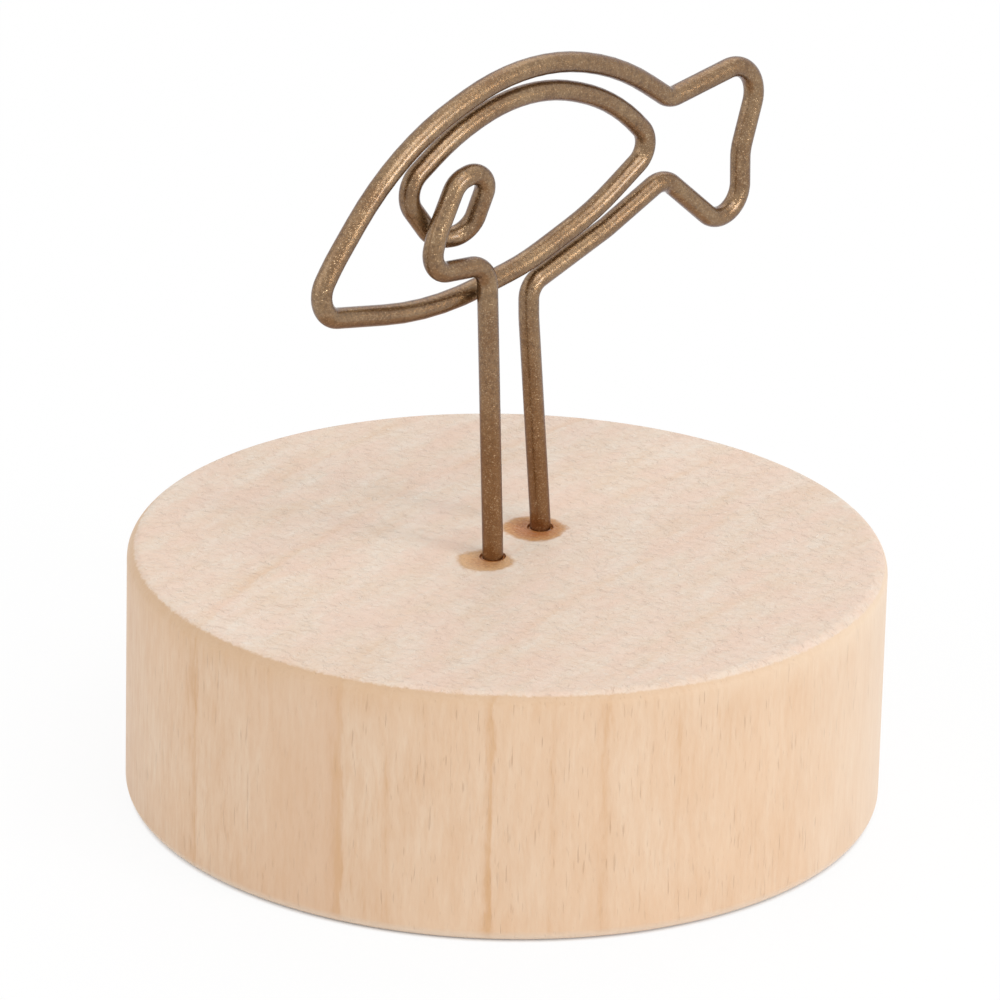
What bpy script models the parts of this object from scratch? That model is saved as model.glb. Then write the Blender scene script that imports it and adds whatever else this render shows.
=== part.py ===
"""Memo clip holder: a turned wooden base that carries a fish bent from one length of wire.

Metres, +Z up. The origin is at the centre of the base's underside. +X runs along the fish to
its tail, and -Y is the side that the user faces. A note is pushed between the outline of the
fish and the loop that lies beside it, and the spring of the wire holds it.
"""
import math

import bmesh
import bpy
from mathutils import Matrix, Vector

# Wooden base, a disc turned from one piece of hardwood
BASE_DIAMETER = 0.0600
BASE_THICKNESS = 0.0205
EDGE_RADIUS = 0.0011
BASE_SIDES = 96
EDGE_STEPS = 4

# Facets that meet at less than the crease angle are shaded as one smooth surface
CREASE_ANGLE = math.radians(35)
MERGE_DISTANCE = 1e-6

# Wire, and the air between two runs of it that cross or lie side by side
WIRE_DIAMETER = 0.00165
WIRE_GAP = 0.0003
WIRE_SIDES_SETTING = 4
BEND_STEP = math.radians(10)

# Holes that the two feet of the wire are glued into
HOLE_DEPTH = 0.0120
HOLE_GAP = 0.0003
DRILL_POINT_SLOPE = math.radians(31)
HOLE_SIDES = 24
GLUE_DEPTH = 0.0014

# Shallow dish scraped round the mouth of each hole by hand, off centre from the hole
FRONT_DISH_DIAMETER = 0.0043
REAR_DISH_DIAMETER = 0.0048
DISH_DEPTH = 0.00015
DISH_SHIFT_ALONG = -0.0012
DISH_SHIFT_ACROSS = -0.0004
DISH_STEPS = 3
DISH_OVERCUT = 1.2

# Places of the feet on the base, along the fish, and of the wire's back plane across it
FRONT_FOOT_ALONG = -0.0022
REAR_FOOT_ALONG = 0.0050
BACK_PLANE = 0.0014

# Main lines of the fish, on the middle of the wire. FISH_ALONG is the middle of the fish on
# the base, and the reach of the nose and of the tail and the place of the eye start from it.
FISH_ALONG = 0.0007
LEG_HEIGHT = 0.0212
FISH_HEIGHT = 0.0186
NOSE_REACH = 0.0214
TAIL_REACH = 0.0284
EYE_ALONG = -0.0072
EYE_HEIGHT = 0.0085

# Bends of the wire in their order along it. A row holds the corner that the bend rounds,
# along the fish and up, and the bend's radius. The corners of a table are measured from the
# foot, the eye, the nose, the tail, or the middle of the belly, loop or back.
FOOT_BEND_RADIUS = 0.0060
FOOT_BEND_UP = 0.0004

SHOULDER_BEND = (-0.0043, 0.0035, 0.0020)

EYE_BENDS = (
    (-0.0034, -0.0044, 0.0017),
    (-0.0026, -0.0013, 0.0060),
    (-0.0006, 0.0025, 0.0018),
    (0.0028, 0.0032, 0.0017),
    (0.0023, -0.0028, 0.0017),
    (-0.0010, -0.0026, 0.0030),
)

LOOP_TOP_BENDS = (
    (-0.0119, -0.0061, 0.0020),
    (-0.0064, -0.0027, 0.0195),
    (0.0016, -0.0002, 0.0165),
    (0.0113, -0.0036, 0.0180),
    (0.0160, -0.0084, 0.0018),
)

BELLY_BENDS = (
    (0.0093, 0.0042, 0.0250),
    (0.0018, 0.0016, 0.0220),
    (-0.0083, 0.0000, 0.0300),
)

NOSE_BENDS = (
    (0.0000, 0.0025, 0.0021),
    (0.0025, 0.0063, 0.0200),
)

BACK_BENDS = (
    (-0.0122, -0.0045, 0.0240),
    (0.0014, 0.0000, 0.0210),
    (0.0117, -0.0029, 0.0240),
)

TAIL_BENDS = (
    (-0.0109, 0.0117, 0.0020),
    (0.0000, 0.0134, 0.0027),
    (-0.0025, 0.0055, 0.0040),
    (-0.0022, -0.0024, 0.0023),
    (-0.0113, 0.0052, 0.0021),
)

RETURN_BENDS = (
    (0.0107, 0.0044, 0.0100),
    (0.0023, 0.0016, 0.0016),
    (0.0024, -0.0011, 0.0150),
)

# Bends of the wire between which it eases across from its front plane to its back plane,
# counted from 0 at the front foot. Both are bends of the eye.
EASE_FROM_BEND = 5
EASE_TO_BEND = 7

WIRE_PITCH = WIRE_DIAMETER + WIRE_GAP
FRONT_PLANE = BACK_PLANE - WIRE_PITCH
HOLE_RADIUS = WIRE_DIAMETER / 2 + HOLE_GAP
DRILL_POINT_DEPTH = HOLE_RADIUS * math.tan(DRILL_POINT_SLOPE)
FOOT_DEPTH = HOLE_DEPTH - DRILL_POINT_DEPTH - GLUE_DEPTH


def clear_scene():
    for item in list(bpy.data.objects):
        bpy.data.objects.remove(item, do_unlink=True)


def make_material(name, color, roughness, metallic=0.0):
    material = bpy.data.materials.new(name)
    material.use_nodes = True
    shader = material.node_tree.nodes["Principled BSDF"]
    shader.inputs["Base Color"].default_value = (*color, 1.0)
    shader.inputs["Roughness"].default_value = roughness
    shader.inputs["Metallic"].default_value = metallic
    return material


def link_object(name, data, material):
    item = bpy.data.objects.new(name, data)
    bpy.context.collection.objects.link(item)
    if material:
        data.materials.append(material)
    return item


def quarter_arc(center_x, center_z, radius, start, steps):
    """Points of a quarter circle that turns left from the angle start."""
    points = []
    for step in range(steps + 1):
        angle = start + math.pi / 2 * step / steps
        x = center_x + radius * math.cos(angle)
        z = center_z + radius * math.sin(angle)
        points.append((x, z))
    return points


def turned_mesh(name, profile, sides):
    """Mesh of a profile of (radius, height) points turned about the Z axis."""
    mesh = bpy.data.meshes.new(name)
    work = bmesh.new()
    verts = [work.verts.new((radius, 0.0, height)) for radius, height in profile]
    edges = [work.edges.new(pair) for pair in zip(verts, verts[1:])]
    bmesh.ops.spin(
        work,
        geom=verts + edges,
        axis=(0.0, 0.0, 1.0),
        cent=(0.0, 0.0, 0.0),
        steps=sides,
        angle=2 * math.pi,
    )
    bmesh.ops.remove_doubles(work, verts=work.verts, dist=MERGE_DISTANCE)
    bmesh.ops.recalc_face_normals(work, faces=work.faces)
    work.to_mesh(mesh)
    work.free()
    mesh.shade_smooth()
    mesh.set_sharp_from_angle(angle=CREASE_ANGLE)
    return mesh


def hole_places():
    """Centre of each drilled hole on the base's top face, the front foot's first."""
    return {
        "front": Vector((FRONT_FOOT_ALONG, FRONT_PLANE, BASE_THICKNESS)),
        "rear": Vector((REAR_FOOT_ALONG, BACK_PLANE, BASE_THICKNESS)),
    }


def make_drill_shape():
    """Shape that a drill takes out for one foot of the wire, its mouth at the origin."""
    profile = [
        (0.0, -HOLE_DEPTH),
        (HOLE_RADIUS, -HOLE_DEPTH + DRILL_POINT_DEPTH),
        (HOLE_RADIUS, HOLE_RADIUS),
        (0.0, HOLE_RADIUS),
    ]
    return turned_mesh("drill", profile, HOLE_SIDES)


def make_dish_shape(diameter):
    """Shape of one shallow dish, part of a ball that dips below the origin by its depth.

    It reaches past the rim by the overcut, so that it cuts through the face above it.
    """
    ball_radius = (diameter ** 2 / 4 + DISH_DEPTH ** 2) / (2 * DISH_DEPTH)
    rim_angle = DISH_OVERCUT * math.asin(diameter / 2 / ball_radius)
    profile = []
    for step in range(DISH_STEPS + 1):
        angle = rim_angle * step / DISH_STEPS
        height = ball_radius * (1 - math.cos(angle)) - DISH_DEPTH
        profile.append((ball_radius * math.sin(angle), height))
    profile.append((0.0, profile[-1][1]))
    return turned_mesh("dish", profile, HOLE_SIDES)


def cut_away(body, name, mesh, place):
    """Takes the shape of a mesh at a place out of a body."""
    cutter = link_object(name + "_cutter", mesh, None)
    cutter.location = place
    cutter.hide_render = True
    cutter.display_type = "WIRE"
    cut = body.modifiers.new(name, "BOOLEAN")
    cut.operation = "DIFFERENCE"
    cut.solver = "EXACT"
    cut.object = cutter


def make_base(material):
    """Turned disc with rounded edges, two blind holes and a shallow dish round each hole."""
    radius = BASE_DIAMETER / 2
    inner = radius - EDGE_RADIUS
    profile = [(0.0, 0.0)]
    profile += quarter_arc(inner, EDGE_RADIUS, EDGE_RADIUS, -math.pi / 2, EDGE_STEPS)
    profile += quarter_arc(inner, BASE_THICKNESS - EDGE_RADIUS, EDGE_RADIUS, 0.0, EDGE_STEPS)
    profile.append((0.0, BASE_THICKNESS))
    mesh = turned_mesh("wood_base", profile, BASE_SIDES)
    base = link_object("wood_base", mesh, material)
    dish_diameters = {"front": FRONT_DISH_DIAMETER, "rear": REAR_DISH_DIAMETER}
    dish_shift = Vector((DISH_SHIFT_ALONG, DISH_SHIFT_ACROSS, 0.0))
    for name, place in hole_places().items():
        cut_away(base, "dish_" + name, make_dish_shape(dish_diameters[name]), place + dish_shift)
        cut_away(base, "hole_" + name, make_drill_shape(), place)
    return base


def shifted(rows, along, up):
    """Bend rows moved from the line that they start from to the clip's own frame."""
    return [(Vector((along + row[0], up + row[1])), row[2]) for row in rows]


def clip_bends():
    """Every bend of the wire from its front foot to its rear foot.

    Places are along the fish and up from the base's top face.
    """
    belly = LEG_HEIGHT
    back = LEG_HEIGHT + FISH_HEIGHT
    eye = LEG_HEIGHT + EYE_HEIGHT
    loop_top = back - WIRE_PITCH
    under_loop = belly - WIRE_PITCH
    foot_bend = (0.0, FOOT_BEND_UP, FOOT_BEND_RADIUS)
    bends = shifted([foot_bend], FRONT_FOOT_ALONG, 0.0)
    bends += shifted([SHOULDER_BEND], FISH_ALONG, belly)
    bends += shifted(EYE_BENDS, FISH_ALONG + EYE_ALONG, eye)
    bends += shifted(LOOP_TOP_BENDS, FISH_ALONG, loop_top)
    bends += shifted(BELLY_BENDS, FISH_ALONG, belly)
    bends += shifted(NOSE_BENDS, FISH_ALONG - NOSE_REACH, belly)
    bends += shifted(BACK_BENDS, FISH_ALONG, back)
    bends += shifted(TAIL_BENDS, FISH_ALONG + TAIL_REACH, belly)
    bends += shifted(RETURN_BENDS, FISH_ALONG, under_loop)
    bends += shifted([foot_bend], REAR_FOOT_ALONG, 0.0)
    return bends


def bend_setbacks(corners, radii):
    """Distance from each corner to where its bend starts, shortened where a run is too short."""
    setbacks = [0.0]
    for before, corner, after, radius in zip(corners, corners[1:], corners[2:], radii):
        half_angle = (before - corner).angle(after - corner) / 2
        setbacks.append(radius / math.tan(half_angle))
    setbacks.append(0.0)
    room = []
    for index in range(len(corners) - 1):
        run = (corners[index + 1] - corners[index]).length
        wanted = setbacks[index] + setbacks[index + 1]
        room.append(min(1.0, run / wanted) if wanted else 1.0)
    for index in range(1, len(corners) - 1):
        setbacks[index] *= min(room[index - 1], room[index])
    return setbacks


def bend_arc(before, corner, after, setback):
    """Points of the arc that rounds one corner, evenly stepped from run to run."""
    into = (before - corner).normalized()
    out = (after - corner).normalized()
    half_angle = into.angle(out) / 2
    center = corner + (into + out).normalized() * (setback / math.cos(half_angle))
    start = corner + into * setback - center
    turn = math.pi - 2 * half_angle
    if into.x * out.y - into.y * out.x > 0:
        turn = -turn
    steps = max(2, math.ceil(abs(turn) / BEND_STEP))
    points = []
    for step in range(steps + 1):
        points.append(center + Matrix.Rotation(turn * step / steps, 2) @ start)
    return points


def clip_centreline():
    """Middle line of the wire in the part's frame, from foot to foot."""
    bends = clip_bends()
    start = Vector((FRONT_FOOT_ALONG, -FOOT_DEPTH))
    end = Vector((REAR_FOOT_ALONG, -FOOT_DEPTH))
    corners = [start] + [corner for corner, radius in bends] + [end]
    setbacks = bend_setbacks(corners, [radius for corner, radius in bends])
    flat = [start]
    middle_of_bend = []
    for index in range(1, len(corners) - 1):
        arc = bend_arc(*corners[index - 1:index + 2], setbacks[index])
        middle_of_bend.append(len(flat) + len(arc) // 2)
        flat += arc
    flat.append(end)
    travel = [0.0]
    for before, after in zip(flat, flat[1:]):
        travel.append(travel[-1] + (after - before).length)
    ease_start = travel[middle_of_bend[EASE_FROM_BEND]]
    ease_end = travel[middle_of_bend[EASE_TO_BEND]]
    points = []
    for place, distance in zip(flat, travel):
        share = min(1.0, max(0.0, (distance - ease_start) / (ease_end - ease_start)))
        share = share * share * (3 - 2 * share)
        across = FRONT_PLANE + share * (BACK_PLANE - FRONT_PLANE)
        points.append(Vector((place.x, across, BASE_THICKNESS + place.y)))
    return points


def make_clip(material):
    """The fish, its clip loop and its two legs, one tube along the bent wire's middle line."""
    points = clip_centreline()
    curve = bpy.data.curves.new("wire_clip", "CURVE")
    curve.dimensions = "3D"
    curve.bevel_depth = WIRE_DIAMETER / 2
    curve.bevel_resolution = WIRE_SIDES_SETTING
    curve.use_fill_caps = True
    spline = curve.splines.new("POLY")
    spline.points.add(len(points) - 1)
    for knot, point in zip(spline.points, points):
        knot.co = (*point, 1.0)
    spline.use_smooth = True
    return link_object("wire_clip", curve, material)


def make_glue(name, place, material):
    """Cured glue that fills the drill point under one foot of the wire."""
    radius = HOLE_RADIUS - HOLE_GAP
    slope = math.tan(DRILL_POINT_SLOPE)
    tip = -HOLE_DEPTH + HOLE_GAP / math.cos(DRILL_POINT_SLOPE)
    top = -FOOT_DEPTH - HOLE_GAP
    profile = [
        (0.0, tip),
        (radius, tip + radius * slope),
        (radius, top),
        (0.0, top),
    ]
    mesh = turned_mesh(name, profile, HOLE_SIDES)
    glue = link_object(name, mesh, material)
    glue.location = place
    return glue


clear_scene()
wood = make_material("beech_wood", (0.78, 0.62, 0.48), roughness=0.62)
lacquer = make_material("bronze_lacquer", (0.30, 0.19, 0.11), roughness=0.42, metallic=0.6)
glue = make_material("cured_glue", (0.72, 0.50, 0.26), roughness=0.35)
make_base(wood)
make_clip(lacquer)
for hole_name, hole_place in hole_places().items():
    make_glue("glue_" + hole_name, hole_place, glue)
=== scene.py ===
import math

import bpy
from mathutils import Matrix, Vector


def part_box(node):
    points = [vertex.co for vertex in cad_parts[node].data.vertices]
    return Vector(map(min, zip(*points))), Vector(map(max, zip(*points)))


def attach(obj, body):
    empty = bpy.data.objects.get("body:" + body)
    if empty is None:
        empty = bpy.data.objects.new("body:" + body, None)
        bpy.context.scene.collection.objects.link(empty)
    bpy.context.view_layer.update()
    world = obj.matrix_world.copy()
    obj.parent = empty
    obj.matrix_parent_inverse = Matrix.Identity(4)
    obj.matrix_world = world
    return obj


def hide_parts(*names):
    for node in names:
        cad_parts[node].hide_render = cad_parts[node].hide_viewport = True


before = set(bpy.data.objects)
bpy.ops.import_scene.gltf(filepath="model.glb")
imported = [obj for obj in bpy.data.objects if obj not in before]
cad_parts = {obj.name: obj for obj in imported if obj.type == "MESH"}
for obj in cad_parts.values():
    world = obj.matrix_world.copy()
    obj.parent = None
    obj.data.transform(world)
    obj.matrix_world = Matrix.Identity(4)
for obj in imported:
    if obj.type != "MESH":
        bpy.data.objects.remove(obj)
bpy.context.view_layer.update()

# The base: a disc turned from one block of pale beech, with the grain running straight up, so
# that its top is end grain. Its edges are rubbed round with sandpaper, and two blind holes are
# drilled for the wire, each with a shallow dish scraped round its mouth.
MM = 0.001
MM_PER_METRE = 1000
base_low, base_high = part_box("wood_base")
base_radius = (base_high.x - base_low.x) / 2
base_top = base_high.z
top_in_mm = MM_PER_METRE * base_top
edge_radius = 1.1 * MM
edge_steps = 10
rim_facets = 384
rim_tolerance = 0.01 * MM
base_crease = math.radians(20)
bore_radius = 1.05 * MM
bore_depth = 12.0 * MM
bore_facets = 64
drill_slope = math.radians(31)
dish_depth = 0.15 * MM
dish_shift = Vector((-1.2 * MM, -0.4 * MM, 0.0))
dish_radii = {"front": 2.15 * MM, "rear": 2.4 * MM}
dish_facets = 96
nearly_level = 0.9

# The growth rings run round a pith far outside the disc. Their lengths are in millimetres, as
# those of all patterns are
ring_angle = math.radians(78)
pith_distance = 125.0
ring_span = 34.0
ring_drop = 0.35
lit_side = Vector((0.707, -0.707, 0.0))

# Each growth ring that shows: its place across the rings, the width over which it darkens, and
# how dark it ends on the side and on the top
growth_rings = [
    (-22.4, 3.0, 0.40, 0.60), (-13.0, 1.3, 0.72, 1.00), (0.95, 1.5, 1.00, 0.55), (4.9, 0.9, 0.55, 0.20),
    (10.1, 0.9, 0.30, 0.70), (12.7, 0.7, 0.90, 0.20), (17.1, 0.4, 0.55, 0.10), (20.6, 0.9, 0.70, 0.50),
    (25.0, 0.5, 0.45, 0.60),
]


def put(tree, kind, inputs=None, **settings):
    """A shader node with its settings, and each input a value or the output that feeds it."""
    node = tree.nodes.new(kind)
    for key, value in settings.items():
        setattr(node, key, value)
    for key, value in (inputs or {}).items():
        if isinstance(value, bpy.types.NodeSocket):
            tree.links.new(value, node.inputs[key])
        else:
            node.inputs[key].default_value = value
    return node


def math_node(tree, operation, first, second=0.0, third=0.0):
    values = {0: first, 1: second, 2: third}
    return put(tree, "ShaderNodeMath", values, operation=operation).outputs[0]


def blend_colors(tree, share, first, second):
    """First colour with a share of the second. A Mix node has its colours in inputs 6 and 7."""
    inputs = {0: share, 6: first, 7: second}
    return put(tree, "ShaderNodeMix", inputs, data_type="RGBA").outputs[2]


def fade(tree, value, low, high, to_low=0.0, to_high=1.0):
    """Share of the way that a value is from low to high, kept between the two ends."""
    inputs = {"Value": value, "From Min": low, "From Max": high, "To Min": to_low, "To Max": to_high}
    return put(tree, "ShaderNodeMapRange", inputs, clamp=True).outputs[0]


def stretched_noise(tree, place, scales, detail=2.0, roughness=0.5):
    """Noise whose features have their own size along each axis, in features per millimetre."""
    scaled = put(tree, "ShaderNodeMapping", {"Vector": place, "Scale": scales}).outputs[0]
    inputs = {"Vector": scaled, "Scale": 1.0, "Detail": detail, "Roughness": roughness}
    return put(tree, "ShaderNodeTexNoise", inputs).outputs[0]


def place_in_millimetres(tree):
    """Place on the object, which every pattern is laid out on."""
    place = put(tree, "ShaderNodeTexCoord").outputs["Object"]
    inputs = {"Vector": place, "Scale": (MM_PER_METRE, MM_PER_METRE, MM_PER_METRE)}
    return put(tree, "ShaderNodeMapping", inputs).outputs[0]


def bore_centers():
    """Middle of the mouth of each hole, over the drop of glue at its bottom."""
    centers = {}
    for name in dish_radii:
        low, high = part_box("glue_" + name)
        centers[name] = Vector(((low.x + high.x) / 2, (low.y + high.y) / 2, base_top))
    return centers


def tone_ramp(tree, share, tones):
    """Tone at a share of the way along a row of places, each with its own tone."""
    ramp = put(tree, "ShaderNodeValToRGB", {"Fac": share})
    stops = ramp.color_ramp.elements
    stops[0].position = tones[0][0]
    stops[1].position = tones[-1][0]
    for place, tone in tones[1:-1]:
        stops.new(place)
    for stop, (place, tone) in zip(stops, tones):
        stop.color = (*tone, 1.0)
    return ramp.outputs[0]


def place_among_rings(tree, across_rings):
    """Distance across the growth rings, which run round a pith far outside the disc."""
    slow = stretched_noise(tree, across_rings, (0.05, 0.05, 0.008), 2.0)
    ragged = stretched_noise(tree, across_rings, (1.1, 1.1, 0.30), 3.0, 0.65)
    wander = math_node(tree, "MULTIPLY_ADD", slow, 1.6, -0.8)
    wander = math_node(tree, "MULTIPLY_ADD", ragged, 1.1, wander)
    wander = math_node(tree, "ADD", wander, -0.55)
    split = put(tree, "ShaderNodeSeparateXYZ", {0: across_rings})
    to_pith = math_node(tree, "SUBTRACT", pith_distance, split.outputs["X"])
    flat = put(tree, "ShaderNodeCombineXYZ", {"X": to_pith, "Y": split.outputs["Y"]}).outputs[0]
    length = put(tree, "ShaderNodeVectorMath", {0: flat}, operation="LENGTH").outputs["Value"]
    ring_place = math_node(tree, "SUBTRACT", pith_distance, length)
    return math_node(tree, "ADD", ring_place, wander)


def ring_strength(tree, ring_place, on_top):
    """Growth rings of the side or the top: each darkens slowly and ends abruptly."""
    tones = [(0.0, (0, 0, 0))]
    for place, width, side_darkness, top_darkness in growth_rings:
        darkness = top_darkness if on_top else side_darkness
        for distance, strength in ((place - width, 0.0), (place, darkness), (place + ring_drop, 0.0)):
            tones.append(((distance + ring_span) / (2 * ring_span), (strength, strength, strength)))
    tones.append((1.0, (0, 0, 0)))
    strength = tone_ramp(tree, fade(tree, ring_place, -ring_span, ring_span), tones)
    return math_node(tree, "POWER", strength, 1.4)


def toward_lit_side(tree, place):
    """Distance in millimetres from the middle towards the side that faces the lamps."""
    inputs = {0: place, 1: lit_side}
    return put(tree, "ShaderNodeVectorMath", inputs, operation="DOT_PRODUCT").outputs["Value"]


def side_grain(tree, place, across_rings, ring_place):
    """Colour and bump of the side: fine streaks up the fibres and short dark ray flecks."""
    rings = ring_strength(tree, ring_place, False)
    bend = stretched_noise(tree, across_rings, (0.4, 0.4, 0.16), 2.0)
    lean = put(tree, "ShaderNodeCombineXYZ", {"X": bend, "Y": bend}).outputs[0]
    wavy = put(tree, "ShaderNodeVectorMath", {0: across_rings, 1: lean}, operation="ADD").outputs[0]
    streak = stretched_noise(tree, wavy, (2.2, 2.2, 0.30), 3.0, 0.60)
    thread = stretched_noise(tree, across_rings, (4.6, 4.6, 0.95), 2.0, 0.6)
    patch = stretched_noise(tree, across_rings, (0.35, 0.35, 0.10), 3.0, 0.6)
    gaps = stretched_noise(tree, across_rings, (0.6, 0.6, 0.10), 2.0)
    gaps = fade(tree, gaps, 0.38, 0.62, 0.68, 1.10)
    hue = fade(tree, stretched_noise(tree, across_rings, (0.22, 0.22, 0.14), 2.0), 0.40, 0.65)
    long_fleck = fade(tree, stretched_noise(tree, across_rings, (5.0, 5.0, 0.50), 1.0), 0.66, 0.78)
    small_fleck = fade(tree, stretched_noise(tree, across_rings, (6.0, 6.0, 1.1), 1.0), 0.70, 0.80)
    rings = math_node(tree, "MULTIPLY", rings, gaps)
    toward_lamps = toward_lit_side(tree, place)
    fibres = math_node(tree, "MULTIPLY_ADD", thread, 0.48, streak)
    fibres = math_node(tree, "ADD", fibres, -0.74)
    fibres = math_node(tree, "MULTIPLY", fibres, fade(tree, toward_lamps, -20.0, -4.0, 1.25, 0.85))
    dark = math_node(tree, "MULTIPLY", rings, 0.55)
    dark = math_node(tree, "MULTIPLY_ADD", fibres, 0.62, dark)
    dark = math_node(tree, "MULTIPLY_ADD", patch, 0.62, dark)
    fleck_brown = (0.47, 0.29, 0.17, 1)
    tones = [
        (0.0, (0.800, 0.630, 0.465)), (0.35, (0.752, 0.548, 0.382)),
        (0.65, (0.705, 0.478, 0.308)), (1.0, (0.620, 0.368, 0.190)),
    ]
    color = tone_ramp(tree, fade(tree, dark, -0.10, 0.80), tones)
    color = blend_colors(tree, math_node(tree, "MULTIPLY", hue, 0.22), color, (0.74, 0.48, 0.29, 1))
    color = blend_colors(tree, math_node(tree, "MULTIPLY", long_fleck, 0.38), color, fleck_brown)
    color = blend_colors(tree, math_node(tree, "MULTIPLY", small_fleck, 0.26), color, fleck_brown)

    # The years before the darkest ring are warmer and each dark ring ends in a brown line. Near
    # the edge towards the lamps the side is painted paler, a painted sheen where the light grazes it
    warm_years = fade(tree, ring_place, -12.0, 0.0)
    warm_years = math_node(tree, "MULTIPLY", warm_years, fade(tree, ring_place, 1.2, 0.9))
    color = blend_colors(tree, math_node(tree, "MULTIPLY", warm_years, 0.50), color, (0.71, 0.47, 0.305, 1))
    ring_core = fade(tree, rings, 0.45, 0.95, 0.0, 0.60)
    color = blend_colors(tree, ring_core, color, (0.66, 0.40, 0.20, 1))
    # Painted sheen: the side turns paler near its edge towards the lamps
    color = blend_colors(tree, fade(tree, toward_lamps, 22.0, 30.0, 0.0, 0.45), color, (0.80, 0.66, 0.52, 1))

    # Just under the rim: painted shade, warmer and darker, away from the lamps, and a painted highlight,
    # paler, towards them
    height_up = put(tree, "ShaderNodeSeparateXYZ", {0: place}).outputs["Z"]
    under_rim = fade(tree, height_up, top_in_mm - 3.0, top_in_mm - 1.0)
    under_rim = math_node(tree, "MULTIPLY", under_rim, fade(tree, patch, 0.30, 0.60, 0.35, 1.0))
    rim_painted_shade = math_node(tree, "MULTIPLY", under_rim, fade(tree, toward_lamps, 0.0, -20.0, 0.10, 0.60))
    # Painted highlight just under the rim towards the lamps
    pale = math_node(tree, "MULTIPLY", under_rim, fade(tree, toward_lamps, 8.0, 26.0, 0.0, 0.45))
    color = blend_colors(tree, rim_painted_shade, color, (0.68, 0.44, 0.25, 1))
    color = blend_colors(tree, pale, color, (0.86, 0.70, 0.53, 1))

    height = math_node(tree, "MULTIPLY_ADD", long_fleck, -0.8, streak)
    height = math_node(tree, "MULTIPLY_ADD", thread, 0.5, height)
    bump_inputs = {"Height": height, "Strength": 0.7, "Distance": 0.00005}
    return color, put(tree, "ShaderNodeBump", bump_inputs).outputs[0]


def end_grain(tree, place, across_rings, ring_place):
    """Colour and bump of the top: hazy rings, pinkish clouds and short raised wavy ray marks."""
    rings = ring_strength(tree, ring_place, True)
    warp = stretched_noise(tree, across_rings, (0.8, 0.8, 0.8), 2.0)
    lean = put(tree, "ShaderNodeCombineXYZ", {"Y": math_node(tree, "MULTIPLY", warp, 1.6)}).outputs[0]
    wavy = put(tree, "ShaderNodeVectorMath", {0: across_rings, 1: lean}, operation="ADD").outputs[0]
    gaps = fade(tree, stretched_noise(tree, across_rings, (0.5, 0.12, 0.3), 2.0), 0.35, 0.60, 0.35, 1.10)
    rings = math_node(tree, "MULTIPLY", rings, gaps)
    clouds = stretched_noise(tree, wavy, (0.42, 0.09, 0.2), 4.0, 0.65)
    blush = fade(tree, stretched_noise(tree, wavy, (0.34, 0.14, 0.2), 4.0, 0.65), 0.42, 0.62)
    marks = stretched_noise(tree, wavy, (1.7, 3.2, 1.0), 3.0, 0.72)
    scratch = fade(tree, stretched_noise(tree, wavy, (1.2, 3.8, 1.0), 2.0, 0.6), 0.58, 0.74)
    thread = fade(tree, stretched_noise(tree, wavy, (1.5, 4.4, 1.0), 2.0, 0.6), 0.62, 0.78)
    pores = fade(tree, stretched_noise(tree, place, (4.5, 4.5, 4.5), 1.0), 0.68, 0.78)
    dark = math_node(tree, "MULTIPLY", rings, 0.32)
    dark = math_node(tree, "MULTIPLY_ADD", clouds, 1.04, dark)
    dark = math_node(tree, "MULTIPLY_ADD", marks, 0.80, dark)
    tones = [
        (0.0, (0.810, 0.700, 0.592)), (0.4, (0.775, 0.622, 0.494)),
        (0.7, (0.752, 0.570, 0.428)), (1.0, (0.700, 0.485, 0.330)),
    ]
    color = tone_ramp(tree, fade(tree, dark, 0.635, 1.345), tones)
    color = blend_colors(tree, math_node(tree, "MULTIPLY", rings, 0.48), color, (0.775, 0.565, 0.405, 1))
    color = blend_colors(tree, math_node(tree, "MULTIPLY", blush, 0.62), color, (0.80, 0.575, 0.455, 1))
    color = blend_colors(tree, math_node(tree, "MULTIPLY", scratch, 0.38), color, (0.60, 0.42, 0.31, 1))
    color = blend_colors(tree, math_node(tree, "MULTIPLY", thread, 0.50), color, (0.90, 0.82, 0.72, 1))
    color = blend_colors(tree, math_node(tree, "MULTIPLY", pores, 0.35), color, (0.52, 0.35, 0.24, 1))
    height = math_node(tree, "MULTIPLY_ADD", scratch, -0.35, marks)
    height = math_node(tree, "MULTIPLY_ADD", thread, 0.45, height)
    bump_inputs = {"Height": height, "Strength": 0.8, "Distance": 0.00013}
    return color, put(tree, "ShaderNodeBump", bump_inputs).outputs[0]


def distance_from(tree, place, spot):
    """Level distance in millimetres from a vertical line through a spot."""
    inputs = {0: place, 1: spot * MM_PER_METRE}
    gap = put(tree, "ShaderNodeVectorMath", inputs, operation="SUBTRACT").outputs[0]
    level = put(tree, "ShaderNodeVectorMath", {0: gap, 1: (1.0, 1.0, 0.0)}, operation="MULTIPLY").outputs[0]
    return put(tree, "ShaderNodeVectorMath", {0: level}, operation="LENGTH").outputs["Value"]


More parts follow.
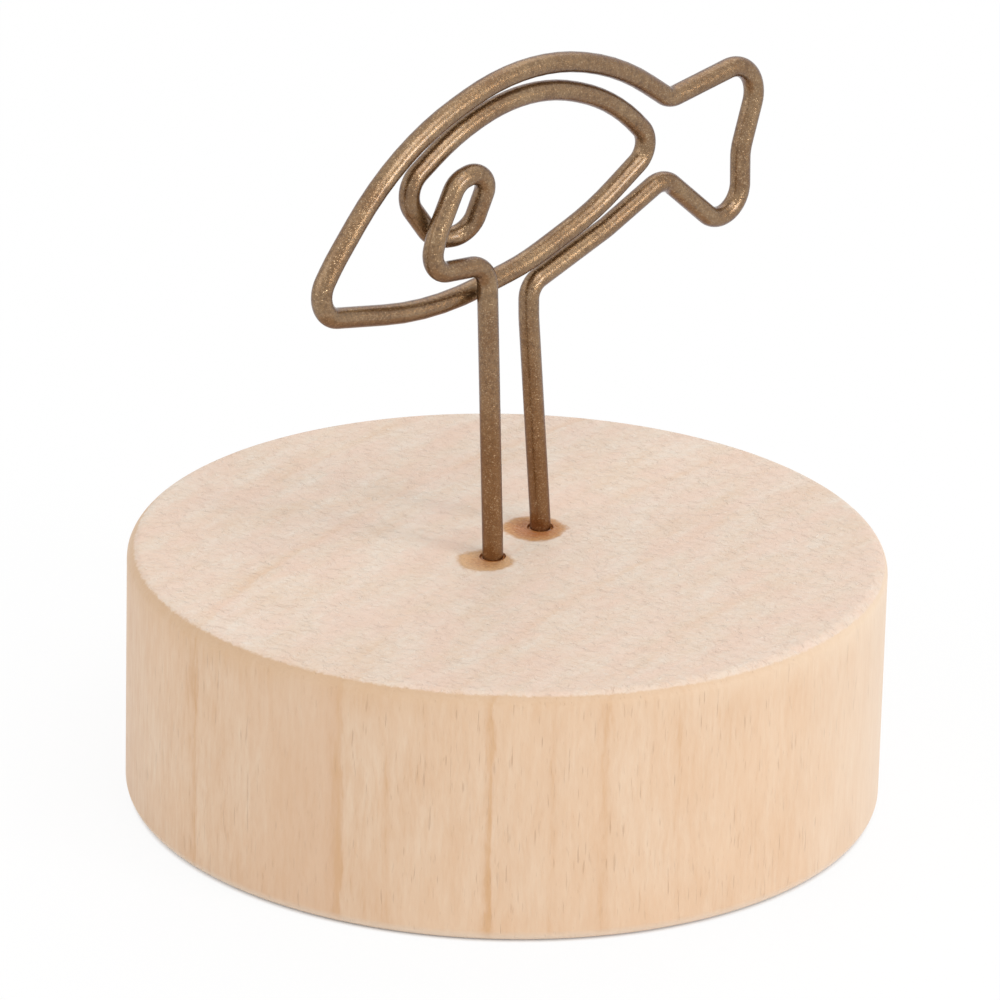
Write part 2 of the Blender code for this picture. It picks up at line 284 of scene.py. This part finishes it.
def glue_stains(tree, place, wood):
    """Dried glue soaked into the dish round each hole: amber, with a crisp ragged outline."""
    broad = stretched_noise(tree, place, (0.9, 0.9, 0.9), 2.0, 0.6)
    fine = stretched_noise(tree, place, (4.5, 4.5, 4.5), 3.0, 0.7)
    height_up = put(tree, "ShaderNodeSeparateXYZ", {0: place}).outputs["Z"]
    near_top = fade(tree, height_up, top_in_mm - 1.4, top_in_mm - 0.9)
    tones = {
        "front": ((0.49, 0.225, 0.074, 1), (0.63, 0.360, 0.160, 1), 1.15, 2.1),
        "rear": ((0.42, 0.130, 0.018, 1), (0.55, 0.250, 0.068, 1), 1.6, 2.8),
    }
    stain_inset = 0.62
    rear_run = Vector((0.50 * MM, 0.38 * MM, 0.0))
    stain_shift = {"front": dish_shift, "rear": dish_shift + rear_run}
    for name, center in bore_centers().items():
        deep, pale, deep_reach, pale_reach = tones[name]
        from_middle = distance_from(tree, place, center + stain_shift[name])
        reach = math_node(tree, "MULTIPLY_ADD", broad, -0.9, from_middle)
        reach = math_node(tree, "MULTIPLY_ADD", fine, -0.55, reach)
        rim = dish_radii[name] * MM_PER_METRE - stain_inset
        inside = fade(tree, reach, rim + 0.20, rim - 0.20)
        outline = math_node(tree, "MULTIPLY", inside, fade(tree, reach, rim - 0.42, rim - 0.12))
        soaked = math_node(tree, "MULTIPLY_ADD", fine, 0.9, from_middle)
        tint = blend_colors(tree, fade(tree, soaked, deep_reach, pale_reach), deep, pale)
        tint = blend_colors(tree, fade(tree, fine, 0.50, 0.70, 0.0, 0.50), tint, (0.72, 0.44, 0.21, 1))
        tint = blend_colors(tree, fade(tree, fine, 0.48, 0.32, 0.0, 0.45), tint, (0.36, 0.19, 0.09, 1))
        tint = blend_colors(tree, math_node(tree, "MULTIPLY", outline, 0.30), tint, (0.42, 0.27, 0.17, 1))
        wood = blend_colors(tree, math_node(tree, "MULTIPLY", inside, near_top), wood, tint)
    return wood


def beech_finish():
    """Sanded beech: end grain above, fibres down the side, and the stains round the holes."""
    material = bpy.data.materials.new("beech_finish")
    material.use_nodes = True
    tree = material.node_tree
    shader = tree.nodes["Principled BSDF"]
    place = place_in_millimetres(tree)
    inputs = {"Vector": place, "Rotation": (0.0, 0.0, ring_angle)}
    across_rings = put(tree, "ShaderNodeMapping", inputs).outputs[0]
    ring_place = place_among_rings(tree, across_rings)
    side, side_bump = side_grain(tree, place, across_rings, ring_place)
    top, top_bump = end_grain(tree, place, across_rings, ring_place)

    # The end grain reaches over the rim, further towards the lamps, where it is a painted highlight
    normal = put(tree, "ShaderNodeNewGeometry").outputs["Normal"]
    upward = put(tree, "ShaderNodeSeparateXYZ", {0: normal}).outputs["Z"]
    toward_lamps = toward_lit_side(tree, place)
    # Where the rounded edge faces up it darkens, partly fibres cut across and partly painted shade, most
    # away from the lamps
    cut_across_and_shade = fade(tree, toward_lamps, -5.0, 24.0, 0.60, 0.15)
    cut_across_and_shade = math_node(tree, "MULTIPLY", cut_across_and_shade, fade(tree, upward, 0.05, 0.75))
    side = blend_colors(tree, cut_across_and_shade, side, (0.60, 0.405, 0.25, 1))
    # Where the rounded edge faces down it is paler, partly end grain showing and partly painted light
    # bounced up from the table
    side = blend_colors(tree, fade(tree, upward, -0.05, -0.55, 0.0, 0.65), side, (0.81, 0.68, 0.55, 1))
    upward = math_node(tree, "ABSOLUTE", upward)
    upward = math_node(tree, "ADD", upward, fade(tree, toward_lamps, 0.0, 30.0, 0.0, 0.25))
    frayed = stretched_noise(tree, place, (2.2, 2.2, 2.2), 3.0, 0.7)
    upward = math_node(tree, "MULTIPLY_ADD", frayed, 0.30, upward)
    on_top = fade(tree, upward, 0.96, 1.06)
    wood = blend_colors(tree, on_top, side, top)
    wood = glue_stains(tree, place, wood)

    # A Mix node has its vectors in inputs 4 and 5
    bump_inputs = {0: on_top, 4: side_bump, 5: top_bump}
    bump = put(tree, "ShaderNodeMix", bump_inputs, data_type="VECTOR").outputs[1]
    tree.links.new(wood, shader.inputs["Base Color"])
    tree.links.new(bump, shader.inputs["Normal"])
    shader.inputs["Roughness"].default_value = 0.55
    shader.inputs["Specular IOR Level"].default_value = 0.5
    shader.inputs["Sheen Weight"].default_value = 0.12
    shader.inputs["Sheen Roughness"].default_value = 0.4
    return material


def only(item):
    """Makes one object the only one that is selected and active."""
    bpy.ops.object.select_all(action="DESELECT")
    item.select_set(True)
    bpy.context.view_layer.objects.active = item


def settle(item):
    """Puts an object's place and size into its mesh."""
    only(item)
    bpy.ops.object.transform_apply(location=True, rotation=True, scale=True)


def cut_out(body, tool):
    """Takes a tool's shape out of a body and removes the tool."""
    cut = body.modifiers.new("cut", "BOOLEAN")
    cut.operation = "DIFFERENCE"
    cut.solver = "EXACT"
    cut.object = tool
    only(body)
    bpy.ops.object.modifier_apply(modifier=cut.name)
    bpy.data.objects.remove(tool, do_unlink=True)


bpy.ops.object.select_all(action="DESELECT")
bpy.ops.mesh.primitive_cylinder_add(
    vertices=rim_facets, radius=base_radius, depth=base_top - base_low.z,
    location=(0, 0, (base_top + base_low.z) / 2))
base = bpy.context.object
base.name = "turned_base"
settle(base)
for name, center in bore_centers().items():
    dish_radius = dish_radii[name]
    ball_radius = (dish_radius ** 2 + dish_depth ** 2) / (2 * dish_depth)
    bpy.ops.mesh.primitive_uv_sphere_add(
        segments=dish_facets, ring_count=2 * dish_facets, radius=ball_radius)
    ball = bpy.context.object
    ball.location = center + dish_shift + Vector((0, 0, ball_radius - dish_depth))
    cut_out(base, ball)
    tip_height = bore_radius * math.tan(drill_slope)
    bpy.ops.mesh.primitive_cylinder_add(vertices=bore_facets, radius=bore_radius, depth=2 * bore_depth)
    drill = bpy.context.object
    settle(drill)
    for vertex in drill.data.vertices:
        if vertex.co.z < 0:
            vertex.co.z += tip_height
    bpy.ops.object.mode_set(mode="EDIT")
    bpy.ops.mesh.select_mode(type="FACE")
    bpy.ops.mesh.select_all(action="DESELECT")
    bpy.ops.object.mode_set(mode="OBJECT")
    for face in drill.data.polygons:
        face.select = face.normal.z < -nearly_level
    bpy.ops.object.mode_set(mode="EDIT")
    bpy.ops.mesh.extrude_region_move(TRANSFORM_OT_translate={"value": (0, 0, -tip_height)})
    bpy.ops.mesh.merge(type="CENTER")
    bpy.ops.object.mode_set(mode="OBJECT")
    drill.location = center
    cut_out(base, drill)

only(base)
bpy.ops.object.mode_set(mode="EDIT")
bpy.ops.mesh.select_mode(type="EDGE")
bpy.ops.mesh.select_all(action="DESELECT")
bpy.ops.object.mode_set(mode="OBJECT")
for edge in base.data.edges:
    ends = [base.data.vertices[index].co for index in edge.vertices]
    level = abs(ends[0].z - ends[1].z) < MM
    edge.select = level and min(end.xy.length for end in ends) > base_radius - rim_tolerance
bpy.ops.object.mode_set(mode="EDIT")
bpy.ops.mesh.bevel(offset=edge_radius, segments=edge_steps, profile=0.5, affect="EDGES")
bpy.ops.object.mode_set(mode="OBJECT")
bpy.ops.object.shade_smooth_by_angle(angle=base_crease)
even = base.modifiers.new("even_normals", "WEIGHTED_NORMAL")
even.keep_sharp = True
bpy.ops.object.modifier_apply(modifier=even.name)
base.data.materials.clear()
base.data.materials.append(beech_finish())
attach(base, "root")
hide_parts("wood_base")

# The glue: a drop of wood glue at the bottom of each hole, pushed up round the foot of the wire
# and cured there. It is amber and glossy where it has set. Near the mouth of each hole, what was
# pushed up stands round the wire as a thin collar.


def glue_finish():
    """Cured wood glue: clouded amber."""
    material = bpy.data.materials.new("glue_finish")
    material.use_nodes = True
    tree = material.node_tree
    shader = tree.nodes["Principled BSDF"]
    place = place_in_millimetres(tree)
    cloud = stretched_noise(tree, place, (1.5, 1.5, 1.5), 3.0)
    color = blend_colors(tree, cloud, (0.30, 0.100, 0.016, 1), (0.42, 0.155, 0.034, 1))
    tree.links.new(color, shader.inputs["Base Color"])
    tree.links.new(fade(tree, cloud, 0.3, 0.7, 0.25, 0.45), shader.inputs["Roughness"])
    return material


amber_glue = glue_finish()
collar_depth = 1.2 * MM
collar_drop = 0.25 * MM
collar_climb = 0.10 * MM
collar_bore = 0.80 * MM
collar_fit = 0.01 * MM
collar_facets = 64
collar_crease = math.radians(40)
for name, center in bore_centers().items():
    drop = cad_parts["glue_" + name]
    drop.data.materials.clear()
    drop.data.materials.append(amber_glue)
    bpy.ops.object.select_all(action="DESELECT")
    bpy.ops.mesh.primitive_cylinder_add(
        vertices=collar_facets, radius=bore_radius - collar_fit, depth=collar_depth)
    collar = bpy.context.object
    collar.name = "glue_collar_" + name
    collar.location = center - Vector((0, 0, collar_drop + collar_depth / 2))
    settle(collar)
    bpy.ops.object.mode_set(mode="EDIT")
    bpy.ops.mesh.select_mode(type="FACE")
    bpy.ops.mesh.select_all(action="DESELECT")
    bpy.ops.object.mode_set(mode="OBJECT")
    for face in collar.data.polygons:
        face.select = face.normal.z > nearly_level
    bpy.ops.object.mode_set(mode="EDIT")
    bpy.ops.mesh.inset(thickness=bore_radius - collar_bore)
    bpy.ops.transform.translate(value=(0, 0, collar_climb))
    bpy.ops.object.mode_set(mode="OBJECT")
    bpy.ops.mesh.primitive_cylinder_add(
        vertices=collar_facets, radius=collar_bore, depth=4 * collar_depth, location=center)
    cut_out(collar, bpy.context.object)
    bpy.ops.object.shade_smooth_by_angle(angle=collar_crease)
    collar.data.materials.clear()
    collar.data.materials.append(amber_glue)
    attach(collar, "root")

# The wire: one length of steel wire, bent cold round pins into two legs, an eye, an inner clip
# loop and the outline of a fish, then sprayed with a bronze lacquer that holds fine metal flake.
wire_radius = 0.825 * MM
wire_pitch = 1.95 * MM
back_plane = 1.4 * MM
front_foot = -2.2 * MM
rear_foot = 5.0 * MM
foot_depth = 9.92 * MM
fish_middle = 0.7 * MM
belly = 21.2 * MM
back = 39.8 * MM
loop_top = back - wire_pitch
under_belly = belly - wire_pitch
bend_step = math.radians(4)
round_steps = 14
wire_crease = math.radians(40)

# Each row is the corner that a bend rounds, along the fish and up from the row's line, and the
# bend's radius, in millimetres
wire_bends = [
    (Vector((front_foot, 0)), [(0.0, 0.4, 6.0)]),
    (Vector((fish_middle, belly)), [(-4.3, 3.5, 2.0)]),
    (Vector((fish_middle - 7.2 * MM, belly + 8.5 * MM)), [
        (-3.4, -4.4, 1.7), (-2.6, -1.3, 6.0), (-0.6, 2.5, 1.8),
        (2.8, 3.2, 1.7), (2.3, -2.8, 1.7), (-1.0, -2.6, 3.0)]),
    (Vector((fish_middle, loop_top)), [
        (-11.9, -6.1, 2.0), (-6.4, -2.7, 19.5), (1.6, -0.2, 16.5), (11.3, -3.6, 18.0),
        (16.0, -8.4, 1.8)]),
    (Vector((fish_middle, belly)), [(9.3, 4.2, 25.0), (1.8, 1.6, 22.0), (-8.3, 0.0, 30.0)]),
    (Vector((fish_middle - 21.4 * MM, belly)), [(0.0, 2.5, 2.1), (2.5, 6.3, 20.0)]),
    (Vector((fish_middle, back)), [(-12.2, -4.5, 24.0), (1.4, 0.0, 21.0), (11.7, -2.9, 24.0)]),
    (Vector((fish_middle + 28.4 * MM, belly)), [
        (-10.9, 11.7, 2.0), (0.0, 13.4, 2.7), (-2.5, 5.5, 4.0), (-2.2, -2.4, 2.3),
        (-11.3, 5.2, 2.1)]),
    (Vector((fish_middle, under_belly)), [(10.7, 4.4, 10.0), (2.3, 1.6, 1.6), (2.4, -1.1, 15.0)]),
    (Vector((rear_foot, 0)), [(0.0, 0.4, 6.0)]),
]

# The bends, counted from the front foot, between which the wire eases from the front plane to
# the back plane
ease_from_bend = 6
ease_to_bend = 8


def bent_wire_points():
    """Middle line of the wire from foot to foot, its bends as arcs."""
    corners = [Vector((front_foot, -foot_depth))]
    radii = [0.0]
    for line, rows in wire_bends:
        for along, up, radius in rows:
            corners.append(line + Vector((along, up)) * MM)
            radii.append(radius * MM)
    corners.append(Vector((rear_foot, -foot_depth)))
    flat = [corners[0]]
    bend_middles = [0]
    for before, corner, after, radius in zip(corners, corners[1:], corners[2:], radii[1:]):
        into = (before - corner).normalized()
        out = (after - corner).normalized()
        half_angle = into.angle(out) / 2
        setback = radius / math.tan(half_angle)
        center = corner + (into + out).normalized() * radius / math.sin(half_angle)
        start = corner + into * setback - center
        turn = math.pi - 2 * half_angle
        if into.x * out.y - into.y * out.x > 0:
            turn = -turn
        steps = max(3, math.ceil(abs(turn) / bend_step))
        bend_middles.append(len(flat) + steps // 2)
        for step in range(steps + 1):
            flat.append(center + Matrix.Rotation(turn * step / steps, 2) @ start)
    flat.append(corners[-1])
    travel = [0.0]
    for before, after in zip(flat, flat[1:]):
        travel.append(travel[-1] + (after - before).length)
    ease_start = travel[bend_middles[ease_from_bend]]
    ease_end = travel[bend_middles[ease_to_bend]]
    points = []
    for place, distance in zip(flat, travel):
        share = min(1.0, max(0.0, (distance - ease_start) / (ease_end - ease_start)))
        share = share * share * (3 - 2 * share)
        across = back_plane - wire_pitch * (1 - share)
        points.append(Vector((place.x, across, base_top + place.y)))
    return points


def lacquer_finish():
    """Bronze lacquer with metal flake under a clear satin coat."""
    material = bpy.data.materials.new("lacquer_finish")
    material.use_nodes = True
    tree = material.node_tree
    shader = tree.nodes["Principled BSDF"]
    place = place_in_millimetres(tree)
    cloud = stretched_noise(tree, place, (0.35, 0.35, 0.35), 3.0, 0.6)
    mottle = stretched_noise(tree, place, (2.6, 2.6, 2.6), 4.0, 0.75)
    grain = stretched_noise(tree, place, (6.5, 6.5, 6.5), 3.0, 0.7)
    browns = [(0.205, 0.109, 0.044, 1), (0.261, 0.156, 0.073, 1), (0.072, 0.034, 0.012, 1)]
    color = blend_colors(tree, fade(tree, cloud, 0.38, 0.62), browns[0], browns[1])
    color = blend_colors(tree, fade(tree, mottle, 0.48, 0.72, 0.0, 0.7), color, browns[2])
    speckle = fade(tree, grain, 0.56, 0.70, 0.0, 0.52)
    color = blend_colors(tree, speckle, color, (0.44, 0.31, 0.19, 1))

    # The lacquer is painted browner towards the feet, a painted reflection of the wood below
    height_up = put(tree, "ShaderNodeSeparateXYZ", {0: place}).outputs["Z"]
    painted_wood_reflection = fade(tree, height_up, top_in_mm + 20.0, top_in_mm + 3.0, 0.0, 0.60)
    color = blend_colors(tree, painted_wood_reflection, color, (0.210, 0.088, 0.019, 1))

    # Metal flake in loose clusters: each cell leans its own way, so that it flashes by itself
    flakes = put(tree, "ShaderNodeTexVoronoi", {"Vector": place, "Scale": 14.0, "Randomness": 1.0})
    chance = put(tree, "ShaderNodeSeparateColor", {0: flakes.outputs["Color"]}).outputs["Red"]
    bright = fade(tree, chance, 0.80, 0.95)
    bright = math_node(tree, "MULTIPLY", bright, fade(tree, mottle, 0.60, 0.40, 0.12, 1.0))
    color = blend_colors(tree, math_node(tree, "MULTIPLY", bright, 0.60), color, (0.66, 0.49, 0.31, 1))
    normal = put(tree, "ShaderNodeNewGeometry").outputs["Normal"]
    tilt_inputs = {0: flakes.outputs["Color"], 1: (0.5, 0.5, 0.5)}
    tilt = put(tree, "ShaderNodeVectorMath", tilt_inputs, operation="SUBTRACT").outputs[0]
    tilt_inputs = {0: tilt, "Scale": math_node(tree, "MULTIPLY_ADD", bright, 0.50, 0.10)}
    leaning = put(tree, "ShaderNodeVectorMath", tilt_inputs, operation="SCALE").outputs[0]
    leaning = put(tree, "ShaderNodeVectorMath", {0: normal, 1: leaning}, operation="ADD").outputs[0]
    leaning = put(tree, "ShaderNodeVectorMath", {0: leaning}, operation="NORMALIZE").outputs[0]
    height = math_node(tree, "MULTIPLY_ADD", grain, 0.5, mottle)
    bump_inputs = {"Height": height, "Strength": 0.5, "Distance": 0.00008, "Normal": leaning}
    bump = put(tree, "ShaderNodeBump", bump_inputs).outputs[0]
    tree.links.new(color, shader.inputs["Base Color"])
    tree.links.new(fade(tree, bright, 0.0, 1.0, 0.23, 0.18), shader.inputs["Roughness"])
    tree.links.new(bump, shader.inputs["Normal"])
    shader.inputs["Metallic"].default_value = 0.80
    shader.inputs["Coat Weight"].default_value = 0.80
    shader.inputs["Coat Roughness"].default_value = 0.22
    shader.inputs["Specular Tint"].default_value = (0.25, 0.17, 0.11, 1)
    return material


bpy.ops.object.select_all(action="DESELECT")
bpy.ops.curve.primitive_nurbs_path_add()
wire = bpy.context.object
wire.name = "wire_fish"
settle(wire)
wire.data.splines.clear()
wire.data.dimensions = "3D"
wire.data.bevel_depth = wire_radius
wire.data.bevel_resolution = round_steps
wire.data.use_fill_caps = True
run = wire.data.splines.new("POLY")
wire_points = bent_wire_points()
run.points.add(len(wire_points) - 1)
for knot, point in zip(run.points, wire_points):
    knot.co = (*point, 1.0)
run.use_smooth = True
only(wire)
bpy.ops.object.convert(target="MESH")
bpy.ops.object.shade_smooth_by_angle(angle=wire_crease)
wire.data.materials.clear()
wire.data.materials.append(lacquer_finish())
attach(wire, "root")
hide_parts("wire_clip")

# The table: a plain white sheet that the holder stands on. It is lit by the lamps and also
# shows white by itself to the camera, so that only a thin shadow is left at the foot.
table_size = 6.0
paper_white = 0.95
table_glow = 0.90
shadow_reach = 0.5 * MM
bpy.ops.object.select_all(action="DESELECT")
bpy.ops.mesh.primitive_plane_add(size=table_size, location=(0, 0, 0))
table = bpy.context.object
table.name = "white_table"
settle(table)
paper = bpy.data.materials.new("white_paper")
paper.use_nodes = True
paper_tree = paper.node_tree
paper_shader = paper_tree.nodes["Principled BSDF"]
paper_shader.inputs["Base Color"].default_value = (paper_white, paper_white, paper_white, 1)
paper_shader.inputs["Roughness"].default_value = 0.9
paper_shader.inputs["Specular IOR Level"].default_value = 0.0
rays = put(paper_tree, "ShaderNodeLightPath").outputs
table_seen = math_node(paper_tree, "MAXIMUM", rays["Is Camera Ray"], rays["Is Glossy Ray"])
table_seen = math_node(paper_tree, "MAXIMUM", table_seen, rays["Is Transmission Ray"])
glow_inputs = {"Color": (1, 1, 1, 1), "Strength": 1.0}
glow = put(paper_tree, "ShaderNodeEmission", glow_inputs).outputs[0]
open_inputs = {"Distance": shadow_reach}
open_air = put(paper_tree, "ShaderNodeAmbientOcclusion", open_inputs, samples=16).outputs["AO"]
open_air = fade(paper_tree, open_air, 0.0, 0.60)
glow_share = math_node(paper_tree, "MULTIPLY", table_seen, table_glow)
glow_share = math_node(paper_tree, "MULTIPLY", glow_share, open_air)
mix_inputs = {0: glow_share, 1: paper_shader.outputs[0], 2: glow}
mixed = put(paper_tree, "ShaderNodeMixShader", mix_inputs).outputs[0]
paper_output = next(node for node in paper_tree.nodes if node.type == "OUTPUT_MATERIAL")
paper_tree.links.new(mixed, paper_output.inputs["Surface"])
table.data.materials.clear()
table.data.materials.append(paper)

# The studio: a white room with a lamp high on the right and a low one beside it, which give the
# wire its highlights, and a wide weak lamp on the left and another behind.
view_azimuth = math.radians(-45)
room_light = 0.645
world = bpy.data.worlds.new("white_room")
bpy.context.scene.world = world
world.use_nodes = True
room_tree = world.node_tree
room = room_tree.nodes["Background"]
rays = put(room_tree, "ShaderNodeLightPath").outputs
room_seen = math_node(room_tree, "MAXIMUM", rays["Is Camera Ray"], rays["Is Glossy Ray"])
room_seen = math_node(room_tree, "MAXIMUM", room_seen, rays["Is Transmission Ray"])
room_strength = fade(room_tree, room_seen, 0.0, 1.0, room_light, 1.0)
room_tree.links.new(room_strength, room.inputs["Strength"])
room.inputs["Color"].default_value = (1, 1, 1, 1)

# Each lamp: its place in degrees round from the camera and up, its distance and its size in
# metres, and its power in watts
lamp_target = Vector((0, 0, 30 * MM))
lamps = [
    ("key_lamp", 38, 60, 2.2, 1.1, 12.0),
    ("side_lamp", 62, 14, 2.4, 0.6, 14.0),
    ("fill_lamp", -64, 28, 2.4, 2.0, 9.0),
    ("back_lamp", 165, 50, 2.4, 1.8, 9.0),
]
for name, azimuth, height, distance, size, power in lamps:
    turn = view_azimuth + math.radians(azimuth)
    rise = math.radians(height)
    offset = Vector((math.sin(turn) * math.cos(rise), -math.cos(turn) * math.cos(rise), math.sin(rise)))
    bpy.ops.object.light_add(type="AREA", location=lamp_target + offset * distance)
    lamp = bpy.context.object
    lamp.name = name
    lamp.rotation_euler = offset.to_track_quat("Z", "Y").to_euler()
    lamp.data.shape = "SQUARE"
    lamp.data.size = size
    lamp.data.energy = power

# The camera: a long lens 0.6 m away, above the front and on the nose side of the fish. It is
# rolled a little and aimed a little aside, as the photograph was taken.
camera_distance = 0.600
camera_lens = 273.90
camera_sensor = 36.0
nearest_seen = 0.01
camera_height = math.radians(21.743)
camera_roll = math.radians(1.428)
camera_aside = -0.609 * MM
camera_up = 3.673 * MM
turned = Matrix.Rotation(view_azimuth, 4, "Z") @ Matrix.Rotation(math.pi / 2 - camera_height, 4, "X")
turned = turned @ Matrix.Rotation(camera_roll, 4, "Z")
stand = Vector((0, 0, base_top)) + turned @ Vector((camera_aside, camera_up, 0))
stand += turned @ Vector((0, 0, camera_distance))
bpy.ops.object.camera_add(location=stand, rotation=turned.to_euler())
camera = bpy.context.object
camera.name = "photo_camera"
camera.data.lens = camera_lens
camera.data.sensor_width = camera_sensor
camera.data.clip_start = nearest_seen
bpy.context.scene.camera = camera
bpy.context.scene.view_settings.view_transform = "Standard"
